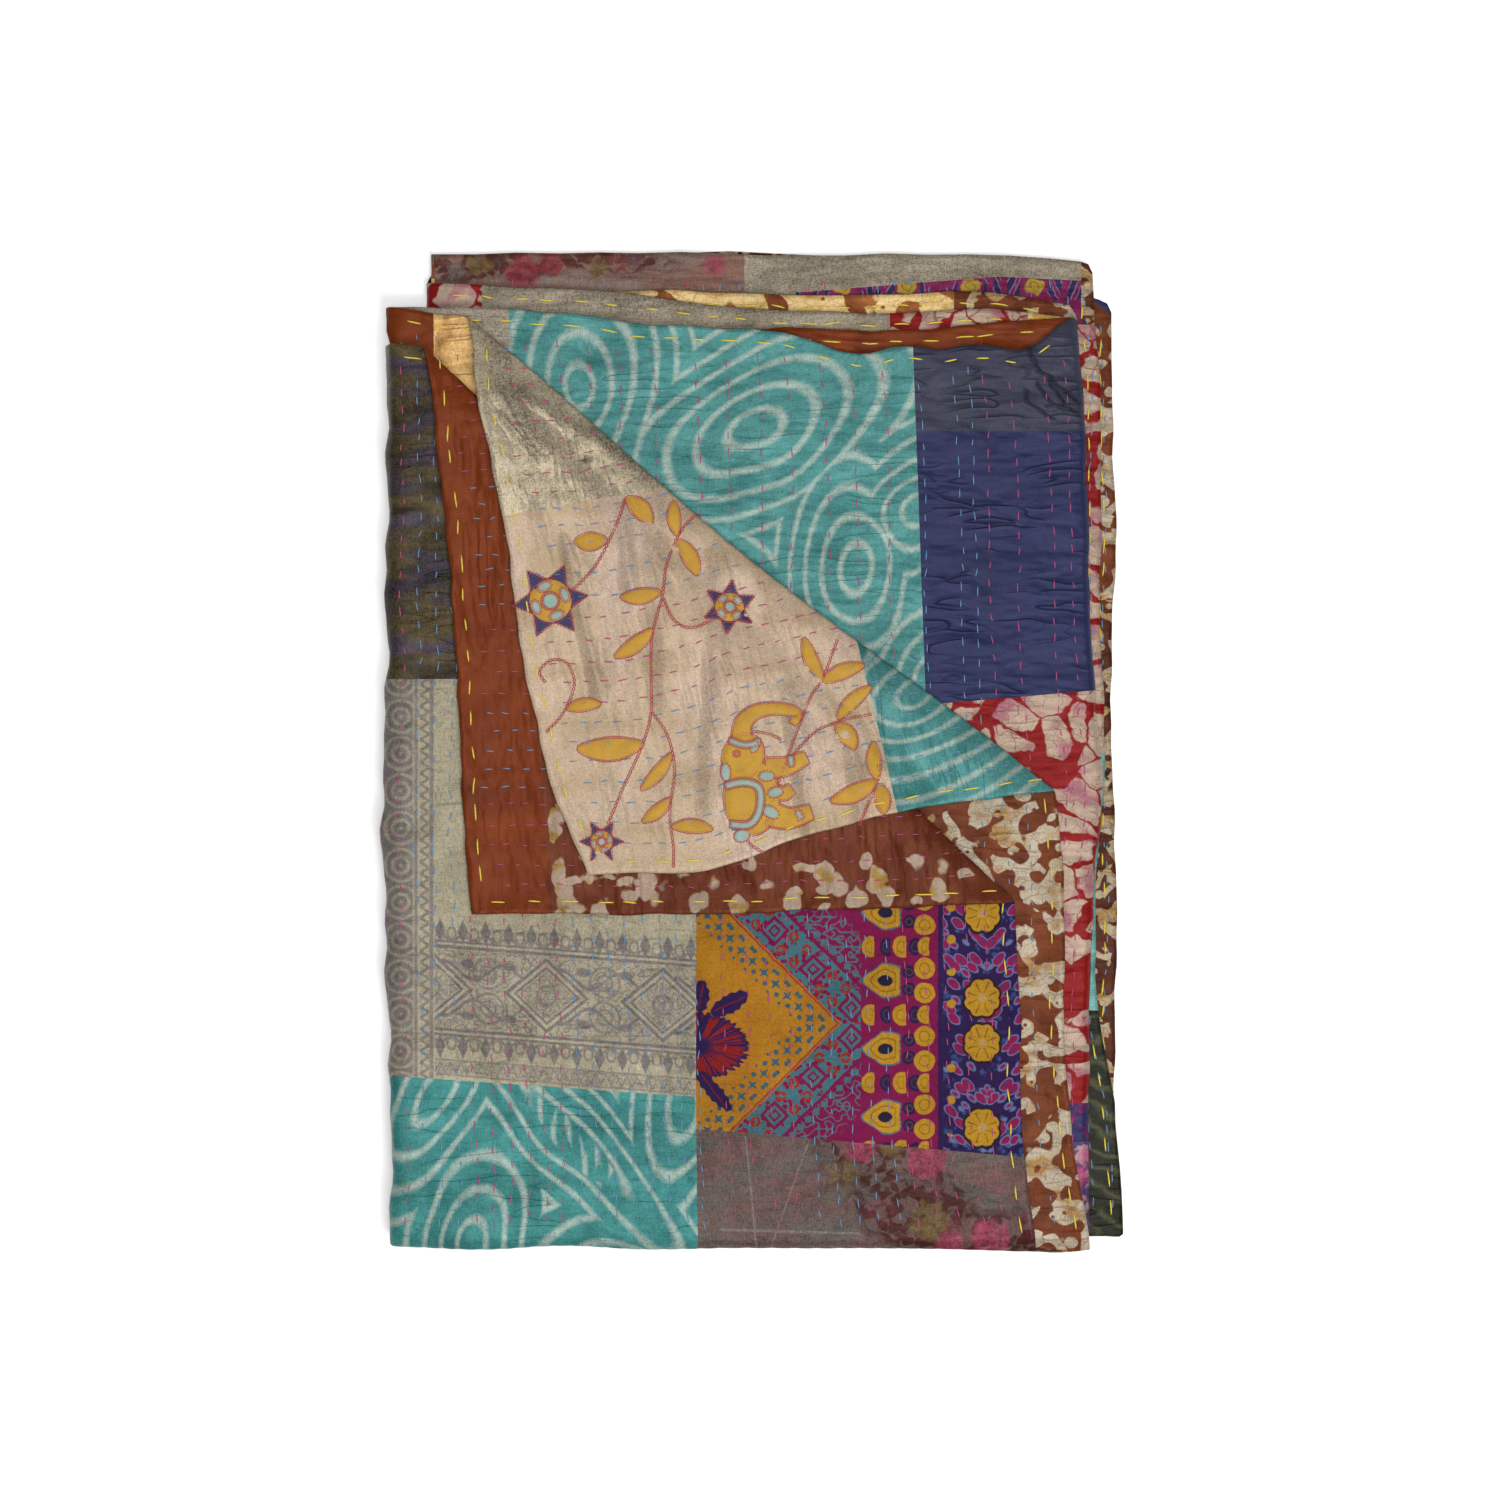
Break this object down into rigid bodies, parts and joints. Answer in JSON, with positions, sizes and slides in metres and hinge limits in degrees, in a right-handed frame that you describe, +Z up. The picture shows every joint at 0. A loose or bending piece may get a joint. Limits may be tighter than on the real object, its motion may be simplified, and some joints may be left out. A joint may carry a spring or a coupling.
{
  "type": "kantha quilt",
  "caption": "Patched silk kantha quilt, 1.52 by 2.25 m, folded flat in eight layers with two corners of the upper layers turned down.",
  "frame": {"origin": "middle of the box of the folded quilt, on the surface it lies on", "axes": "+Z up through the layers, +Y away from the bottom fold along the longer side, +X to the right hems"},
  "size_m": [0.6012, 0.815, 0.0404],
  "materials": {
    "patched_silk": "satin"
  },
  "bodies": {
    "root": {"quilt": "patched_silk"}
  },
  "joints": []
}
